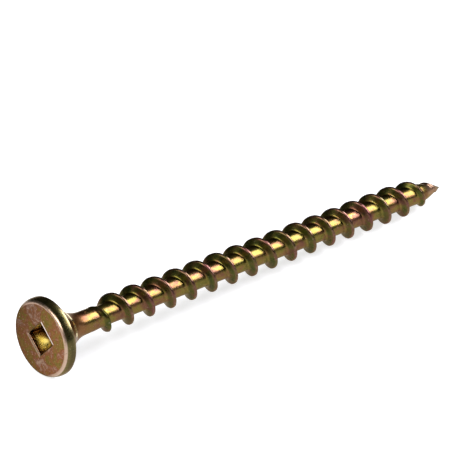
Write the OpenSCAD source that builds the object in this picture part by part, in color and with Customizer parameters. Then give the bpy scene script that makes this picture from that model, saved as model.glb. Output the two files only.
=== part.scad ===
// Deck screw: flat bugle head with a square drive recess, a short plain neck,
// a coarse single-start right-hand thread and a gimlet point, all one piece.
// It lies on its side at rest, on the rim of the head and on one thread crest
// close to the point. +X runs from head to point, +Z is up, and the origin is
// the middle of the bounding box on the surface it lies on.

/* [Head] */
// Diameter of the head
head_d = 9.1; // [8.6:0.1:9.8]
// Height of the rim, from the face to where the underside starts
rim_h = 1.36; // [1.26:0.02:1.56]
// Width of the rolled edge round the face, measured along the face
face_edge_w = 0.46; // [0.2:0.02:0.56]
// Height of that edge, measured along the rim
face_edge_h = 1; // [0.44:0.02:1.02]
// Radius of the edge between the rim and the underside
rear_edge_r = 0.18; // [0.1:0.02:0.22]
// Distance from the face to where the bugle underside has become the neck
flare_end = 6.2; // [5.8:0.1:6.6]
// Exponent of the bugle curve: larger is more hollow
flare_k = 2.3; // [1.9:0.1:2.5]

/* [Square recess] */
// Width across flats at the face
recess_w = 2.84; // [2.8:0.02:2.92]
// Depth of the straight walls
recess_h = 2.6; // [2.2:0.1:2.8]
// Draft of each wall, in degrees
recess_draft = 1.6; // [0.5:0.1:3]
// Depth of the conical bottom below the walls
recess_cone_h = 0.8; // [0.4:0.05:1]
// Width of the broken edge round the mouth, measured along the face
mouth_break_w = 0.2; // [0.05:0.01:0.3]
// Depth of that broken edge
mouth_break_h = 0.08; // [0.04:0.01:0.15]
// Turn of the recess about the screw's axis, in degrees
recess_turn = 44; // [0:1:90]

/* [Shank and thread] */
// Overall length, from the face to the point
screw_l = 63.5; // [62.5:0.05:65]
// Diameter of the plain neck
neck_d = 2.68; // [2.56:0.02:2.9]
// Outside diameter over the thread
major_d = 4.2; // [4:0.02:4.64]
// Diameter at the root of the thread
root_d = 2.42; // [2.24:0.02:2.5]
// Axial distance between neighbouring crests
pitch = 3.175; // [3.1:0.005:3.22]
// Width of the flat on the crest
crest_w = 0.32; // [0.12:0.02:0.36]
// Angle of each flank from the plane across the axis, in degrees
flank_a = 22; // [18:1:30]
// Turn of the thread about the screw's axis, in degrees
thread_turn = 31; // [0:1:90]
// Axial length over which the thread rises out of the neck
run_in = 2.7; // [2:0.1:3.1]

/* [Point] */
// Axial length over which the crest comes down to the point
crest_taper_l = 8; // [7.2:0.1:8.8]
// Axial length over which the core comes down to the point
core_taper_l = 3.8; // [3.4:0.1:4.6]
// How far the very point stands off the axis
point_off = 0.24; // [0:0.02:0.32]

/* [Hidden] */
$fn = 96;

R = head_d / 2;
neck_r = neck_d / 2;
major_r = major_d / 2;
root_r = root_d / 2;

segs = 24;                       // facets round one turn of the thread
first_turn = 2;                  // turns are counted from the face
last_turn = floor((screw_l - 0.15 - crest_w / 2) / pitch - (segs - 1) / segs + thread_turn / 360);
run_in_z = 7.0;                  // where the ridge starts to rise
point_dir = -50;                 // side to which the point stands off

// ---------- head and neck, a body of revolution about the local Z axis ----------

flare_n = 14;
function flare_r(z) =
    neck_r + (R - 0.13 - neck_r) * pow(1 - (z - rim_h) / (flare_end - rim_h), flare_k);

head_profile = concat(
    [[0, 0]],
    [for (a = [0 : 10 : 90]) [R - face_edge_w + face_edge_w * sin(a), face_edge_h - face_edge_h * cos(a)]],
    [for (a = [0 : 22.5 : 67.5]) [R - rear_edge_r + rear_edge_r * cos(a), rim_h - rear_edge_r + rear_edge_r * sin(a)]],
    [for (i = [0 : flare_n]) let (z = rim_h + (flare_end - rim_h) * i / flare_n) [flare_r(z), z]],
    [[neck_r, 8.5], [root_r - 0.05, 9.2], [0, 9.2]]
);

module head_and_neck() {
    rotate_extrude() polygon(head_profile);
}

// ---------- square recess: two crossed wedges make the drafted square ----------

module wedge(w, h) {
    d = h * tan(recess_draft);
    e = 0.5;
    rotate([90, 0, 0])
        linear_extrude(height = w + 4, center = true)
            polygon([[-w / 2 - e * tan(recess_draft), -e], [w / 2 + e * tan(recess_draft), -e],
                     [w / 2 - d, h], [-w / 2 + d, h]]);
}

module recess() {
    rotate([0, 0, recess_turn]) {
        intersection() {
            wedge(recess_w, recess_h);
            rotate([0, 0, 90]) wedge(recess_w, recess_h);
        }
        translate([0, 0, recess_h - 0.02])
            cylinder(h = recess_cone_h + 0.02, r1 = recess_w / 2 - recess_h * tan(recess_draft) - 0.03, r2 = 0.12);
        // broken edge of the mouth: a shallow square funnel
        intersection() {
            mouth(recess_w, mouth_break_w, mouth_break_h);
            rotate([0, 0, 90]) mouth(recess_w, mouth_break_w, mouth_break_h);
        }
    }
}

module mouth(w, b, h) {
    e = 0.5 * b / h;
    rotate([90, 0, 0])
        linear_extrude(height = w + 8, center = true)
            polygon([[-w / 2 - b - e, -0.5], [w / 2 + b + e, -0.5], [w / 2, h], [-w / 2, h]]);
}

// ---------- threaded body, one skin wound along the helix ----------

base_w = crest_w / 2 + (major_r - root_r) * tan(flank_a) + 0.11;
foot_w = crest_w / 2 + 0.82 * (major_r - root_r) * tan(flank_a);

// [axial offset from the crest line, share of the ridge's height]
stations = [[-base_w, 0], [-foot_w, 0.16], [-crest_w / 2, 1],
            [crest_w / 2, 1], [foot_w, 0.16], [base_w, 0]];
m = len(stations);

function smooth(x) = let (c = min(1, max(0, x))) c * c * (3 - 2 * c);
function taper(z, l, k) =
    let (t = min(1, max(0, (screw_l - z) / l))) 1 - pow(1 - t, k);

function core_r(z) = root_r * taper(z, core_taper_l, 1.35);
function crest_r(z) = max(core_r(z), major_r * taper(z, crest_taper_l, 2.24));
function rise(z) = smooth((z - run_in_z) / run_in);

function bend(z) = let (t = max(0, (z - screw_l + 6.7) / 6.7)) point_off * t * t;

function row_z(j) =
    (first_turn + floor(j / m) - thread_turn / 360) * pitch + stations[j % m][0];
rows = (last_turn - first_turn + 1) * m - 2;

function skin_r(z, j) = core_r(z) + (crest_r(z) - core_r(z)) * rise(z) * stations[j % m][1];

function skin_point(i, j) =
    let (z = row_z(j) + pitch * i / segs,
         r = skin_r(z, j),
         a = 360 * i / segs,
         b = bend(z))
    [r * cos(a) + b * cos(point_dir), r * sin(a) + b * sin(point_dir), z];

skin_points = concat(
    [for (i = [0 : segs - 1]) for (j = [0 : rows - 1]) skin_point(i, j)],
    [[0, 0, row_z(0) + pitch / 2],
     [point_off * cos(point_dir), point_off * sin(point_dir), screw_l]]
);
n_points = segs * rows;

// column segs is column 0 one pitch further on
function id(i, j) = i < segs ? i * rows + j : j + m;
function last_row(i) = i < segs - 1 ? rows - 2 : rows - 2 - m;

skin_faces = concat(
    [for (i = [0 : segs - 1]) for (j = [0 : last_row(i)]) [id(i, j), id(i, j + 1), id(i + 1, j)]],
    [for (i = [0 : segs - 1]) for (j = [0 : last_row(i)]) [id(i + 1, j), id(i, j + 1), id(i + 1, j + 1)]],
    // start, inside the neck
    [for (i = [0 : segs - 1]) [n_points, id(i, 0), id(i + 1, 0)]],
    [for (j = [0 : m - 1]) [n_points, id(0, j + 1), id(0, j)]],
    // end, at the point
    [for (i = [0 : segs - 2]) [n_points + 1, id(i + 1, rows - 1), id(i, rows - 1)]],
    [for (j = [rows - 1 - m : rows - 2]) [n_points + 1, id(segs - 1, j), id(segs - 1, j + 1)]],
    [[n_points + 1, id(0, rows - 1), id(segs - 1, rows - 1 - m)]]
);

module threaded_body() {
    polyhedron(points = skin_points, faces = skin_faces, convexity = 10);
}

// ---------- how it lies ----------

// The screw tips forward until the first crest on its under side meets the surface.
rim_z = rim_h - rear_edge_r;
function crest_z(k, side) = (k - thread_turn / 360) * pitch + side * crest_w / 2;
lie = min([for (k = [10 : last_turn]) for (s = [-1, 1])
    atan((R - crest_r(crest_z(k, s))) / (crest_z(k, s) - rim_z))]);
lift = R * cos(lie) + rim_z * sin(lie);
x_low = -(R - face_edge_w) * sin(lie) + face_edge_h * cos(lie)
    - sqrt(pow(face_edge_h * cos(lie), 2) + pow(face_edge_w * sin(lie), 2));
x_high = screw_l * cos(lie) - point_off * cos(point_dir) * sin(lie);

module screw() {
    color("darkgoldenrod")
        translate([-(x_low + x_high) / 2, 0, lift])
            rotate([0, 90 + lie, 0])
                difference() {
                    union() {
                        head_and_neck();
                        threaded_body();
                    }
                    recess();
                }
}

echo(lie = lie, lift = lift, shift = -(x_low + x_high) / 2, triangles = len(skin_faces));

screw();
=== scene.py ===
import bpy
import numpy as np
from math import sin, cos, tan, radians, degrees, pi, sqrt, atan, ceil
from mathutils import Matrix, Vector


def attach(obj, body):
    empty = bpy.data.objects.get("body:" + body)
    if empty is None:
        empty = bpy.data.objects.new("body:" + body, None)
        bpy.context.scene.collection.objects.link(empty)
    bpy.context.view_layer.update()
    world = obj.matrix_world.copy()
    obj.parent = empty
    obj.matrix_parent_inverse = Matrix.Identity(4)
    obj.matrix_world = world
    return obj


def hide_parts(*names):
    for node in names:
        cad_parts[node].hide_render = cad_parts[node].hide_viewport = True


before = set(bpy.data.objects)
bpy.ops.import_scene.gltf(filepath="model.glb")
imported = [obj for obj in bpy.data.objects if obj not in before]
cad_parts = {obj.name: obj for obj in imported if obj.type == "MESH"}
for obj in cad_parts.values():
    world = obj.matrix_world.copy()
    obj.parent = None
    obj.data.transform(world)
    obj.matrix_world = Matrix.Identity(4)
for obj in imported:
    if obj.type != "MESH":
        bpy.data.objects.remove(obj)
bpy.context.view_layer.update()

# ---------------------------------------------------------------- dimensions, millimetres, as in the part's source
HEAD_D, RIM_H, EDGE_W, EDGE_H, REAR_R = 9.1, 1.36, 0.46, 1.0, 0.18
FLARE_END, FLARE_K = 6.2, 2.3
REC_W, REC_H, REC_DRAFT, REC_CONE, BREAK_W, BREAK_H, REC_TURN = 2.84, 2.6, 1.6, 0.8, 0.2, 0.08, 44.0
LENGTH, NECK_D, MAJOR_D, ROOT_D = 63.5, 2.68, 4.2, 2.42
PITCH, CREST_W, FLANK, THREAD_TURN, RUN_IN, RUN_Z = 3.175, 0.32, 22.0, 31.0, 2.7, 7.0
CREST_L, CORE_L, POINT_OFF, POINT_DIR = 8.0, 3.8, 0.24, -50.0
CREST_K, CORE_K = 2.24, 1.35
GRAIN = 0.9                                      # scale of the texture space

R, NR, MR, RR = HEAD_D / 2, NECK_D / 2, MAJOR_D / 2, ROOT_D / 2


def smooth(x):
    c = np.clip(x, 0.0, 1.0)
    return c * c * (3 - 2 * c)


def taper(z, length, k):
    t = np.clip((LENGTH - z) / length, 0.0, 1.0)
    return 1 - (1 - t) ** k


def core_r(z):
    return RR * taper(z, CORE_L, CORE_K)


def crest_r(z):
    return np.maximum(core_r(z), MR * taper(z, CREST_L, CREST_K))


# ---------------------------------------------------------------- how the screw lies (same rule as the part's source)
def crest_z(k, side):
    return (k - THREAD_TURN / 360) * PITCH + side * CREST_W / 2


rim_z = RIM_H - REAR_R
LIE = min(atan((R - float(crest_r(crest_z(k, s)))) / (crest_z(k, s) - rim_z)) for k in range(10, 20) for s in (-1, 1))
LIFT = R * cos(LIE) + rim_z * sin(LIE)
x_low = -(R - EDGE_W) * sin(LIE) + EDGE_H * cos(LIE) - sqrt((EDGE_H * cos(LIE)) ** 2 + (EDGE_W * sin(LIE)) ** 2)
x_high = LENGTH * cos(LIE) - POINT_OFF * cos(radians(POINT_DIR)) * sin(LIE)
SHIFT = -(x_low + x_high) / 2
A = pi / 2 + LIE
TURN = np.array([[cos(A), 0, sin(A)], [0, 1, 0], [-sin(A), 0, cos(A)]])


def to_world(v):
    """Local millimetres, axis along Z from the face, to metres in the frame."""
    return (np.asarray(v) @ TURN.T + np.array([SHIFT, 0, LIFT])) * 0.001


# ---------------------------------------------------------------- the screw's mesh
COLS = 128


def ridge_share(q):
    """Share of the ridge's height at an axial distance q from the crest line: soft foot, soft crest."""
    h = MR - RR
    c = CREST_W / 2
    w = c + h * tan(radians(FLANK))
    x = (w - np.abs(q)) / (w - c)
    s = 0.09
    y = s * np.logaddexp(0, x / s)
    y = 1 - 0.05 * np.logaddexp(0, (1 - y) / 0.05)
    return np.clip(y, 0, None), w


def build_mesh():
    n, p = COLS, PITCH
    share0, w = ridge_share(np.array([0.0]))
    wide = w * 1.15
    st = np.concatenate([
        -p / 2 + (p / 2 - wide) * np.arange(0, 4) / 4.0,
        np.linspace(-wide, wide, 21)[:-1],
        wide + (p / 2 - wide) * np.arange(0, 4) / 4.0,
    ])
    m = len(st)
    fac = ridge_share(st)[0]
    fac = fac / ridge_share(np.array([0.0]))[0][0]
    th0 = radians(REC_TURN - 45)
    rz, fc, off = [], [], []
    k = 2
    done = False
    while not done:
        zc = (k - THREAD_TURN / 360) * p + p * degrees(th0) / 360.0
        for s, f in zip(st, fac):
            z = zc + s
            if z + p * (n - 1) / n > LENGTH - 0.2:
                done = True
                break
            rz.append(z)
            fc.append(f)
            off.append(s)
        k += 1
    rz, fc, off = np.array(rz), np.array(fc), np.array(off)
    K = len(rz)
    i = np.arange(n)
    ang = th0 + 2 * pi * i / n
    Z = rz[None, :] + p * i[:, None] / n
    core = core_r(Z)
    crest = crest_r(Z)
    rise = smooth((Z - RUN_Z) / RUN_IN)
    blend = smooth((Z - (RUN_Z - 0.3)) / 2.0)
    base = NR + (core - NR) * blend
    share = rise * fc[None, :]
    r = base + (crest - core) * share
    # the rolled crest is never quite even
    a3 = ang[:, None]
    wob = (np.sin(3 * a3 + 2.1 * Z) + np.sin(5 * a3 - 3.7 * Z + 1.3) + np.sin(11 * a3 + 7.3 * Z + 0.4)) / 3
    r = r - 0.012 * share ** 3 * (1 + wob)
    t = np.clip((Z - LENGTH + 6.7) / 6.7, 0, None)
    b = POINT_OFF * t * t
    od = radians(POINT_DIR)
    X = r * np.cos(ang)[:, None] + b * cos(od)
    Y = r * np.sin(ang)[:, None] + b * sin(od)
    verts = [np.stack([X, Y, Z], -1).reshape(-1, 3)]
    ridge = [np.broadcast_to(share, Z.shape).reshape(-1)]
    edge = [np.zeros(Z.size)]
    place = [np.broadcast_to(off[None, :], Z.shape).reshape(-1)]
    F = []

    def vid(i_, j_):
        return i_ * K + j_ if i_ < n else j_ + m

    for i_ in range(n):
        top = K - 1 if i_ < n - 1 else K - 1 - m
        for j_ in range(top):
            F.append((vid(i_, j_), vid(i_ + 1, j_), vid(i_ + 1, j_ + 1), vid(i_, j_ + 1)))
    base_n = n * K
    verts.append(np.array([[POINT_OFF * cos(od), POINT_OFF * sin(od), LENGTH]]))
    ridge.append(np.zeros(1)); place.append(np.zeros(1)); edge.append(np.zeros(1))
    tip = base_n
    base_n += 1
    for i_ in range(n - 1):
        F.append((vid(i_, K - 1), vid(i_ + 1, K - 1), tip))
    for j_ in range(K - 1 - m, K - 1):
        F.append((vid(n - 1, j_), vid(n - 1, j_ + 1), tip)[::-1])
    F.append((vid(n - 1, K - 1 - m), vid(0, K - 1), tip))

    # head: rings from the neck outwards and round the rim to the face
    rings = []
    N = 26
    for q in np.linspace(1, 0, N + 1):
        rings.append((NR + (R - 0.13 - NR) * (1 - q) ** FLARE_K, RIM_H + (FLARE_END - RIM_H) * q))
    for a in np.radians([67.5, 45, 22.5, 0]):
        rings.append((R - REAR_R + REAR_R * cos(a), RIM_H - REAR_R + REAR_R * sin(a)))
    edge_from = len(rings)
    for a in np.radians([90, 82, 74, 66, 58, 50, 42, 34, 26, 18, 12, 6, 0]):
        rings.append((R - EDGE_W + EDGE_W * sin(a), EDGE_H - EDGE_H * cos(a)))
    edge_to = len(rings)
    rings.append((R - EDGE_W - 0.08, 0.0))
    rings.append((3.35, 0.0))
    rings.append((2.65, 0.0))
    e1, e2 = np.cos(ang), np.sin(ang)
    ring0 = base_n
    # rings of the face's rolled edge that get the pale ring, later kept only on the side toward the camera as a
    # painted highlight
    wear_and_edge_highlight = np.zeros(len(rings))
    wear_and_edge_highlight[edge_from + 7:edge_to] = 1.0
    for (rr, z), wr in zip(rings, wear_and_edge_highlight):
        verts.append(np.stack([rr * e1, rr * e2, np.full(n, z)], -1))
        ridge.append(np.zeros(n)); place.append(np.full(n, PITCH / 2)); edge.append(np.full(n, wr))
    base_n += n * len(rings)

    def rid(k_, i_):
        return ring0 + k_ * n + (i_ % n)

    for i_ in range(n - 1):
        F.append((rid(0, i_), rid(0, i_ + 1), vid(i_ + 1, 0), vid(i_, 0)))
    poly = [rid(0, n - 1), rid(0, n)] + [vid(0, q) for q in range(0, m + 1)] + [vid(n - 1, 0)]
    for q in range(0, len(poly) - 2):
        F.append((poly[-1], poly[q], poly[q + 1]))
    for k_ in range(len(rings) - 1):
        for i_ in range(n):
            F.append((rid(k_ + 1, i_), rid(k_ + 1, i_ + 1), rid(k_, i_ + 1), rid(k_, i_)))
    last = len(rings) - 1

    # recess: rounded square mouth, drafted walls, conical bottom
    phi = ang - radians(REC_TURN)
    kk = 18.0
    sq = 1 / ((np.abs(np.cos(phi)) ** kk + np.abs(np.sin(phi)) ** kk) ** (1 / kk))
    w2 = REC_W / 2
    d = tan(radians(REC_DRAFT))
    loops = [(w2 + BREAK_W + 0.12, 0.0), (w2 + BREAK_W + 0.06, 0.0)]
    for bw, bh in ((1.0, 0.0), (0.86, 0.1), (0.7, 0.25), (0.5, 0.45), (0.3, 0.68), (0.14, 0.9), (0.04, 1.15), (0.0, 1.6)):
        loops.append((w2 + BREAK_W * bw, BREAK_H * bh))
    for zz in np.linspace(0.22, REC_H - 0.1, 14):
        loops.append((w2 - zz * d, zz))
    loops.append((w2 - REC_H * d - 0.03, REC_H - 0.03))
    loops.append((w2 - REC_H * d - 0.1, REC_H))
    loop0 = base_n
    for k_, (ww, z) in enumerate(loops):
        verts.append(np.stack([ww * sq * e1, ww * sq * e2, np.full(n, z)], -1))
        ridge.append(np.zeros(n)); place.append(np.full(n, PITCH / 2)); edge.append(np.full(n, float(0 < k_ < 8)))
    base_n += n * len(loops)
    wb = w2 - REC_H * d - 0.12
    cones = [(wb, REC_H + 0.01), (wb * 0.8, REC_H + REC_CONE * 0.2), (wb * 0.55, REC_H + REC_CONE * 0.46),
             (wb * 0.3, REC_H + REC_CONE * 0.72), (wb * 0.12, REC_H + REC_CONE * 0.93)]
    cone0 = base_n
    for ww, z in cones:
        verts.append(np.stack([ww * e1, ww * e2, np.full(n, z)], -1))
        ridge.append(np.zeros(n)); place.append(np.full(n, PITCH / 2)); edge.append(np.zeros(n))
    base_n += n * len(cones)
    verts.append(np.array([[0, 0, REC_H + REC_CONE]]))
    ridge.append(np.zeros(1)); place.append(np.full(1, PITCH / 2)); edge.append(np.zeros(1))
    centre = base_n

    def lid(k_, i_):
        return loop0 + k_ * n + (i_ % n)

    total = len(loops) + len(cones)
    for i_ in range(n):
        F.append((lid(0, i_), lid(0, i_ + 1), rid(last, i_ + 1), rid(last, i_)))
        for k_ in range(total - 1):
            F.append((lid(k_ + 1, i_), lid(k_ + 1, i_ + 1), lid(k_, i_ + 1), lid(k_, i_)))
        F.append((centre, lid(total - 1, i_ + 1), lid(total - 1, i_)))
    return np.concatenate(verts), F, np.concatenate(ridge), np.concatenate(place), np.concatenate(edge)


local, faces, ridge, place, edge = build_mesh()
world = to_world(local)
me = bpy.data.meshes.new("screw_body")
me.from_pydata(world.tolist(), [], faces)
me.validate(clean_customdata=False)
me.update()
screw = bpy.data.objects.new("screw_body", me)
bpy.context.scene.collection.objects.link(screw)

import bmesh
bm = bmesh.new()
bm.from_mesh(me)
bmesh.ops.recalc_face_normals(bm, faces=bm.faces)
if bm.calc_volume(signed=True) < 0:
    bmesh.ops.reverse_faces(bm, faces=bm.faces)
bm.to_mesh(me)
bm.free()
me.shade_smooth()

radius = np.hypot(local[:, 0], local[:, 1])
in_recess = ((radius < 2.4) & (local[:, 2] > 0.06) & (local[:, 2] < REC_H + REC_CONE + 0.1)).astype(float)
on_face = ((local[:, 2] < 0.05) & (radius > 1.45)).astype(float)
on_head = 1 - smooth((local[:, 2] - 1.6) / 0.9)
on_neck = smooth((local[:, 2] - 1.5) / 1.0) * (1 - smooth((local[:, 2] - 4.9) / 1.7))
cu = local[:, 0] * cos(radians(REC_TURN)) + local[:, 1] * sin(radians(REC_TURN))
cv = -local[:, 0] * sin(radians(REC_TURN)) + local[:, 1] * cos(radians(REC_TURN))
corner = np.minimum(np.abs(cu), np.abs(cv)) / (REC_W / 2)
# painted light in the recess: bright gold as a painted reflection between about 0.5 and 1.6 mm deep away from the
# corners; dark as painted shade at the mouth, in the corners and at the bottom
recess_painted_light = smooth((local[:, 2] - 0.22) / 0.3) * (1 - smooth((local[:, 2] - 1.6) / 0.6)) * (1 - smooth((corner - 0.48) / 0.3))
# painted reflection: one wall of the recess bright gold all over
recess_painted_light = np.where((cu < 0) & (np.abs(cu) > np.abs(cv)), 1.0, recess_painted_light)
at_mouth = (local[:, 2] < 0.15) & (radius < 2.45) & (edge > 0.5)
# painted highlight: a near-white strip along the broken mouth edge on one side of the recess
mouth_painted_highlight = (at_mouth & (cu < 0) & (np.abs(cu) > np.abs(cv) * 1.12)).astype(float)
# duller painted highlight along the broken mouth edge on the opposite side of the recess
far_mouth_painted_highlight = (at_mouth & (cu > 0) & (np.abs(cu) > np.abs(cv) * 1.05)).astype(float)
# painted highlight on the point: a band about 1 to 3 mm from its end
on_point = smooth((local[:, 2] - (LENGTH - 3.3)) / 0.7) * (1 - smooth((local[:, 2] - (LENGTH - 1.4)) / 0.7))
# painted highlight: a cream line around the rim's rear part
on_rim = smooth((local[:, 2] - 0.95) / 0.2) * (1 - smooth((local[:, 2] - 1.42) / 0.15)) * (radius > R - 0.3)
turned = np.arctan2(local[:, 1], local[:, 0])
# the side of the head toward the camera, where the face edge gets its pale painted highlight
painted_lit_side = smooth((np.cos(turned - radians(-123.0)) + 0.45) / 0.6)
# the point's painted highlight kept only on its upper side toward the camera
on_point = on_point * smooth((np.cos(turned + radians(150.0)) + 0.1) / 0.6)
# painted shade: the face edge darker on the side away from the camera
edge_painted_shade = np.where((radius > 3.6) & (local[:, 2] < 1.0), 1 - painted_lit_side, 0.0) * smooth((radius - 3.95) / 0.25)
around = turned + radians(138.0)
# the rim's painted highlight kept only on the side where the light falls
on_rim = on_rim * smooth((np.cos(around) - 0.45) / 0.3)
# painted shade: the rim and the outer part of the flare darker on their lower side
shade = (radius > 3.0) * smooth((local[:, 2] - 0.35) / 0.35) * (1 - smooth((local[:, 2] - 1.6) / 1.2)) * smooth((np.sin(around) - 0.35) / 0.45)
# painted light: the face's colour scaled from about 0.54 to 1.58 times, lighter towards one side
face_painted_light_gradient = 1.06 + (0.148 * local[:, 0] - 0.503 * local[:, 1]) / R
# the face edge's pale ring: painted highlight on the side toward the camera, broken up by noise like wear; at the
# recess mouth only the duller painted highlight on one side
edge = np.where(at_mouth, 0.6 * far_mouth_painted_highlight, edge * painted_lit_side)
for name, data in (("ridge", ridge), ("place", place), ("edge", edge), ("face", on_face), ("head", on_head), ("neck", on_neck), ("recess", in_recess), ("recess_painted_light", recess_painted_light), ("mouth_painted_highlight", mouth_painted_highlight), ("point", on_point), ("rim", on_rim), ("edge_painted_shade", edge_painted_shade), ("face_painted_light_gradient", face_painted_light_gradient), ("shade", shade)):
    at = me.attributes.new(name, "FLOAT", "POINT")
    at.data.foreach_set("value", np.asarray(data, dtype=np.float32))
loc = me.attributes.new("local_mm", "FLOAT_VECTOR", "POINT")
loc.data.foreach_set("vector", np.asarray(local * GRAIN, dtype=np.float32).reshape(-1))

wn = screw.modifiers.new("weighted", "WEIGHTED_NORMAL")
wn.mode = "FACE_AREA"
wn.weight = 50
wn.keep_sharp = True

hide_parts("screw")
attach(screw, "root")


# ---------------------------------------------------------------- materials
def tree(name):
    mat = bpy.data.materials.new(name)
    mat.use_nodes = True
    nt = mat.node_tree
    nt.nodes.clear()
    return mat, nt


class Net:
    def __init__(self, nt):
        self.nt = nt
        self.x = 0

    def node(self, kind, **kw):
        nd = self.nt.nodes.new(kind)
        nd.location = (self.x, 0)
        self.x += 60
        for k, v in kw.items():
            setattr(nd, k, v)
        return nd

    def link(self, a, b):
        self.nt.links.new(a, b)

    def attr(self, name):
        return self.node("ShaderNodeAttribute", attribute_name=name)

    def math(self, op, a, b=None, c=None, clamp=False):
        nd = self.node("ShaderNodeMath", operation=op, use_clamp=clamp)
        for k, v in enumerate((a, b, c)):
            if v is None:
                continue
            if isinstance(v, (int, float)):
                nd.inputs[k].default_value = v
            else:
                self.link(v, nd.inputs[k])
        return nd.outputs[0]

    def noise(self, vec, scale, detail=4.0, rough=0.55, dist=0.0, lac=2.0):
        nd = self.node("ShaderNodeTexNoise")
        nd.inputs["Scale"].default_value = scale
        nd.inputs["Detail"].default_value = detail
        nd.inputs["Roughness"].default_value = rough
        nd.inputs["Distortion"].default_value = dist
        nd.inputs["Lacunarity"].default_value = lac
        self.link(vec, nd.inputs["Vector"])
        return nd.outputs[0]

    def ramp(self, fac, stops, interp="LINEAR"):
        nd = self.node("ShaderNodeValToRGB")
        cr = nd.color_ramp
        cr.interpolation = interp
        while len(cr.elements) < len(stops):
            cr.elements.new(0.5)
        for e, (pos, col) in zip(cr.elements, stops):
            e.position = pos
            e.color = (*col, 1.0) if len(col) == 3 else col
        self.link(fac, nd.inputs[0])
        return nd.outputs[0]

    def range(self, v, a, b, c=0.0, d=1.0, kind="SMOOTHSTEP"):
        nd = self.node("ShaderNodeMapRange", interpolation_type=kind)
        self.link(v, nd.inputs[0])
        for k, x in enumerate((a, b, c, d)):
            nd.inputs[k + 1].default_value = x
        return nd.outputs[0]

    def mix(self, fac, a, b, blend="MIX"):
        nd = self.node("ShaderNodeMix", data_type="RGBA", blend_type=blend)
        nd.clamp_factor = True
        if isinstance(fac, (int, float)):
            nd.inputs[0].default_value = fac
        else:
            self.link(fac, nd.inputs[0])
        for k, v in ((6, a), (7, b)):
            if isinstance(v, tuple):
                nd.inputs[k].default_value = (*v, 1.0)
            else:
                self.link(v, nd.inputs[k])
        return nd.outputs[2]

    def scale(self, vec, s):
        nd = self.node("ShaderNodeVectorMath", operation="MULTIPLY")
        self.link(vec, nd.inputs[0])
        nd.inputs[1].default_value = s
        return nd.outputs[0]


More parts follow.
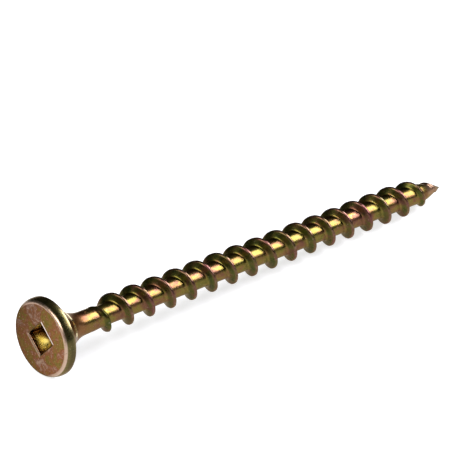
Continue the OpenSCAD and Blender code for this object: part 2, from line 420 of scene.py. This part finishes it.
def zinc_material():
    mat, nt = tree("yellow_zinc")
    g = Net(nt)
    out = g.node("ShaderNodeOutputMaterial")
    bsdf = g.node("ShaderNodeBsdfPrincipled")
    g.link(bsdf.outputs[0], out.inputs[0])
    p = g.attr("local_mm").outputs["Vector"]
    ridge_v = g.attr("ridge").outputs["Fac"]
    rec = g.attr("recess").outputs["Fac"]

    face = g.attr("face").outputs["Fac"]
    head = g.attr("head").outputs["Fac"]
    edge_v = g.attr("edge").outputs["Fac"]
    big = g.noise(p, 0.36, 3.0, 0.5, 0.3)
    mid = g.noise(g.scale(p, (1.0, 1.0, 0.6)), 1.3, 5.0, 0.6, 0.5)
    small = g.noise(p, 3.2, 5.0, 0.62, 0.4)
    fine = g.noise(p, 9.0, 4.0, 0.6)
    cloud = g.math("ADD", g.math("MULTIPLY", big, 0.5), g.math("MULTIPLY", mid, 0.5))

    # the chromate film: gold-brown on the lands, olive on the flanks, reddish where it is thin on the crests
    land = g.ramp(cloud, [(0.41, (0.088, 0.076, 0.006)), (0.48, (0.134, 0.098, 0.012)), (0.54, (0.140, 0.068, 0.018)), (0.60, (0.114, 0.042, 0.020))])
    flank = g.ramp(cloud, [(0.41, (0.036, 0.044, 0.002)), (0.49, (0.062, 0.058, 0.003)), (0.54, (0.078, 0.050, 0.008)), (0.60, (0.086, 0.033, 0.015))])
    crest = g.ramp(cloud, [(0.41, (0.075, 0.058, 0.012)), (0.47, (0.098, 0.050, 0.020)), (0.54, (0.112, 0.040, 0.028)), (0.60, (0.104, 0.030, 0.028))])
    col = g.mix(g.range(ridge_v, 0.02, 0.3), land, flank)
    col = g.mix(g.math("MULTIPLY", g.attr("neck").outputs["Fac"], 0.85), col, (0.150, 0.056, 0.017))
    col = g.mix(g.math("MULTIPLY", g.range(ridge_v, 0.72, 0.95), 0.85), col, crest)
    # the point: greyish pink painted highlight on its upper side toward the camera
    col = g.mix(g.math("MULTIPLY", g.attr("point").outputs["Fac"], 0.85), col, (0.25, 0.145, 0.09))
    # the face: reddish brown with olive clouds and greyish pink bloom
    patch = g.noise(p, 0.62, 5.0, 0.62, 0.9)
    t = g.math("ADD", g.math("MULTIPLY", patch, 0.72), g.math("MULTIPLY", small, 0.28))
    plate = g.ramp(t, [(0.39, (0.120, 0.088, 0.018)), (0.44, (0.160, 0.102, 0.030)), (0.475, (0.172, 0.080, 0.028)), (0.50, (0.168, 0.060, 0.028)), (0.535, (0.190, 0.086, 0.050)), (0.575, (0.225, 0.128, 0.090)), (0.62, (0.290, 0.185, 0.135))])
    mottle = g.range(g.noise(p, 4.6, 3.0, 0.6, 0.3), 0.3, 0.7, 0.80, 1.22, "LINEAR")
    mo = g.node("ShaderNodeCombineColor")
    for k in range(3):
        g.link(mottle, mo.inputs[k])
    plate = g.mix(1.0, plate, mo.outputs[0], "MULTIPLY")
    # painted light: the face lighter on one side and darker on the other
    face_painted_light_gradient = g.node("ShaderNodeCombineColor")
    for k in range(3):
        g.link(g.attr("face_painted_light_gradient").outputs["Fac"], face_painted_light_gradient.inputs[k])
    plate = g.mix(1.0, plate, face_painted_light_gradient.outputs[0], "MULTIPLY")
    col = g.mix(face, col, plate)
    # rim and underside of the head: darker olive
    col = g.mix(g.math("MULTIPLY", g.math("SUBTRACT", head, face, clamp=True), 0.65), col, (0.088, 0.074, 0.026))
    # painted highlight: cream line on the lit side of the rim
    col = g.mix(g.math("MULTIPLY", g.attr("rim").outputs["Fac"], 0.75), col, (0.25, 0.19, 0.095))
    # painted shade on the rim's lower side
    col = g.mix(g.math("MULTIPLY", g.attr("shade").outputs["Fac"], 0.7), col, (0.036, 0.030, 0.006))
    # painted shade: darker olive brown on the face edge away from the camera
    col = g.mix(g.math("MULTIPLY", g.attr("edge_painted_shade").outputs["Fac"], 0.8), col, (0.060, 0.040, 0.012))
    # the recess: painted reflection, bright gold on one wall all over and in a band about 0.5 to 1.6 mm deep away from
    # the corners; painted shade, dark, near its mouth, in its corners and at its bottom
    recess_painted_light_colour = g.mix(g.attr("recess_painted_light").outputs["Fac"], (0.14, 0.055, 0.015), (1.0, 0.86, 0.42))
    col = g.mix(rec, col, recess_painted_light_colour)
    shade = g.range(fine, 0.3, 0.75, 0.76, 1.22, "LINEAR")
    sh = g.node("ShaderNodeCombineColor")
    for k in range(3):
        g.link(shade, sh.inputs[k])
    col = g.mix(1.0, col, sh.outputs[0], "MULTIPLY")
    # pale marks: the rolled edge of the face, pale only on the side toward the camera and broken up by noise, partly
    # wear and partly painted highlight; a duller painted highlight along one side of the mouth of the recess; bare
    # zinc on rubbed crests and a few specks
    edge_rub_and_highlight = g.math("MULTIPLY", edge_v, g.range(small, 0.18, 0.42))
    col = g.mix(g.math("MULTIPLY", edge_rub_and_highlight, 0.85), col, (0.50, 0.35, 0.26))
    wear_and_edge_highlight = g.math("MULTIPLY", g.range(ridge_v, 0.85, 1.0), g.range(small, 0.5, 0.62))
    col = g.mix(g.math("MULTIPLY", wear_and_edge_highlight, 0.25), col, (0.30, 0.19, 0.13))
    speck = g.math("MULTIPLY", g.range(g.noise(p, 5.5, 2.0, 0.5), 0.66, 0.72), g.math("MAXIMUM", face, 0.35))
    col = g.mix(g.math("MULTIPLY", speck, 0.8), col, (0.50, 0.36, 0.28))
    # painted highlight: near-white strip along one side of the recess mouth, broken up by noise
    mouth_painted_highlight = g.math("MULTIPLY", g.attr("mouth_painted_highlight").outputs["Fac"], g.range(small, 0.25, 0.4))
    col = g.mix(g.math("MULTIPLY", mouth_painted_highlight, 0.9), col, (0.86, 0.76, 0.70))
    g.link(col, bsdf.inputs["Base Color"])
    # paler reflection tint on the edge's wear and painted highlight, on the painted mouth highlight and in the recess
    g.link(g.mix(g.math("MAXIMUM", edge_v, g.math("MAXIMUM", mouth_painted_highlight, rec)), (0.62, 0.50, 0.34), (1.0, 0.96, 0.92)), bsdf.inputs["Specular Tint"])
    bsdf.inputs["Metallic"].default_value = 1.0
    g.link(g.math("SUBTRACT", 0.32, g.math("MULTIPLY", face, 0.22)), bsdf.inputs["Coat Weight"])
    bsdf.inputs["Coat Roughness"].default_value = 0.3
    bsdf.inputs["Coat IOR"].default_value = 1.45
    rough = g.math("ADD", g.range(mid, 0.3, 0.7, 0.24, 0.34, "LINEAR"), g.range(fine, 0.3, 0.7, -0.03, 0.06, "LINEAR"))
    rough = g.math("ADD", rough, g.math("MULTIPLY", face, 0.08))
    rough = g.math("ADD", rough, g.math("MULTIPLY", g.attr("neck").outputs["Fac"], 0.03))
    rough = g.math("SUBTRACT", rough, g.math("MULTIPLY", rec, 0.14))
    g.link(rough, bsdf.inputs["Roughness"])
    bump = g.node("ShaderNodeBump")
    bump.inputs["Strength"].default_value = 0.25
    bump.inputs["Distance"].default_value = 0.00002
    hgt = g.math("ADD", g.math("MULTIPLY", fine, 0.5), g.math("MULTIPLY", g.noise(p, 30.0, 3.0, 0.6), 0.25))
    g.link(hgt, bump.inputs["Height"])
    g.link(bump.outputs[0], bsdf.inputs["Normal"])
    return mat


def floor_material():
    mat, nt = tree("pale_floor")
    g = Net(nt)
    out = g.node("ShaderNodeOutputMaterial")
    bsdf = g.node("ShaderNodeBsdfPrincipled")
    bsdf.inputs["Base Color"].default_value = (0.5, 0.5, 0.5, 1)
    bsdf.inputs["Roughness"].default_value = 0.9
    bsdf.inputs["Specular IOR Level"].default_value = 0.0
    bsdf.inputs["Emission Color"].default_value = (1, 1, 1, 1)
    bsdf.inputs["Emission Strength"].default_value = 0.76
    g.link(bsdf.outputs[0], out.inputs[0])
    return mat


me.materials.append(zinc_material())

# ---------------------------------------------------------------- floor
fm = bpy.data.meshes.new("floor")
nseg, fr = 64, 1.2
fm.from_pydata([(0, 0, 0)] + [(fr * cos(2 * pi * k / nseg), fr * sin(2 * pi * k / nseg), 0) for k in range(nseg)], [],
               [(0, 1 + k, 1 + (k + 1) % nseg) for k in range(nseg)])
floor = bpy.data.objects.new("floor", fm)
bpy.context.scene.collection.objects.link(floor)
fm.materials.append(floor_material())

# ---------------------------------------------------------------- camera: the photograph's, from its own perspective
FOCAL = 2878.0                                   # focal length in pixels of the 450-pixel frame
AX = np.array([0.72764, -0.27204, 0.63087])      # the screw's axis in the camera's frame (right, down, forward)
AX = AX / np.linalg.norm(AX)
FACE = np.array([-20.0592, 12.4000, 312.349])    # middle of the face in the camera's frame, millimetres
lo, hi = 0.0, 1.2
for _ in range(60):                              # the camera's tilt that makes the floor level
    el = (lo + hi) / 2
    if -cos(el) * AX[1] - sin(el) * AX[2] + sin(LIE) > 0:
        lo = el
    else:
        hi = el
up = np.array([0, -cos(el), -sin(el)])
down = -(up - (up @ AX) * AX)
down /= np.linalg.norm(down)
side = np.cross(AX, down)
cam_from_local = np.stack([down, side, AX], 1)   # columns: the local axes in the camera's frame
eye_local = cam_from_local.T @ (-FACE)
eye = to_world(eye_local)
axes = TURN @ cam_from_local.T                   # columns: camera right, down, forward in the world
cam_data = bpy.data.cameras.new("camera")
cam = bpy.data.objects.new("camera", cam_data)
bpy.context.scene.collection.objects.link(cam)
M = Matrix.Identity(4)
for r_ in range(3):
    M[r_][0] = axes[r_, 0]
    M[r_][1] = -axes[r_, 1]
    M[r_][2] = -axes[r_, 2]
    M[r_][3] = eye[r_]
cam.matrix_world = M
cam_data.sensor_width = 36.0
cam_data.sensor_fit = "HORIZONTAL"
cam_data.lens = FOCAL / 450.0 * 36.0
cam_data.clip_start = 0.01
cam_data.clip_end = 10.0
bpy.context.scene.camera = cam

# ---------------------------------------------------------------- light
R_cam = np.array([axes[:, 0], -axes[:, 1], -axes[:, 2]])


def world_dir(right, fwd, upw):
    """A direction given along the camera's right, its level forward and straight up."""
    rt = axes[:, 0]
    fw = axes[:, 2] - np.array([0, 0, axes[2, 2]])
    fw = fw / np.linalg.norm(fw)
    v = right * rt + fwd * fw + upw * np.array([0, 0, 1.0])
    return v / np.linalg.norm(v)


def area(name, direction, dist, size, power, colour=(1, 1, 1), target=(0, 0, 0.003), shape="RECTANGLE", size_y=None, roll=0.0):
    ld = bpy.data.lights.new(name, "AREA")
    ld.shape = shape
    ld.size = size
    ld.size_y = size_y or size
    ld.energy = power
    ld.color = colour
    ob = bpy.data.objects.new(name, ld)
    pos = Vector(target) + Vector(direction) * dist
    ob.location = pos
    ob.rotation_euler = (Vector(target) - pos).to_track_quat("-Z", "Y").to_euler()
    ob.rotation_euler = (ob.rotation_euler.to_matrix() @ Matrix.Rotation(radians(roll), 3, "Z")).to_euler()
    bpy.context.scene.collection.objects.link(ob)
    return ob


area("key", world_dir(0.72, 0.22, 0.65), 0.6, 0.48, 5.4, (0.96, 0.97, 1.10), size_y=0.2, roll=35.7)
area("front", world_dir(-0.42, -0.62, 0.62), 0.8, 0.62, 5.2, (1.0, 0.98, 0.96), size_y=0.34)

w = bpy.data.worlds.new("world")
bpy.context.scene.world = w
w.use_nodes = True
bg = w.node_tree.nodes["Background"]
bg.inputs[0].default_value = (0.04, 0.042, 0.038, 1)
bg.inputs[1].default_value = 1.0

vs = bpy.context.scene.view_settings
vs.view_transform = "Standard"
vs.look = "None"
vs.exposure = 0.0
vs.gamma = 1.0
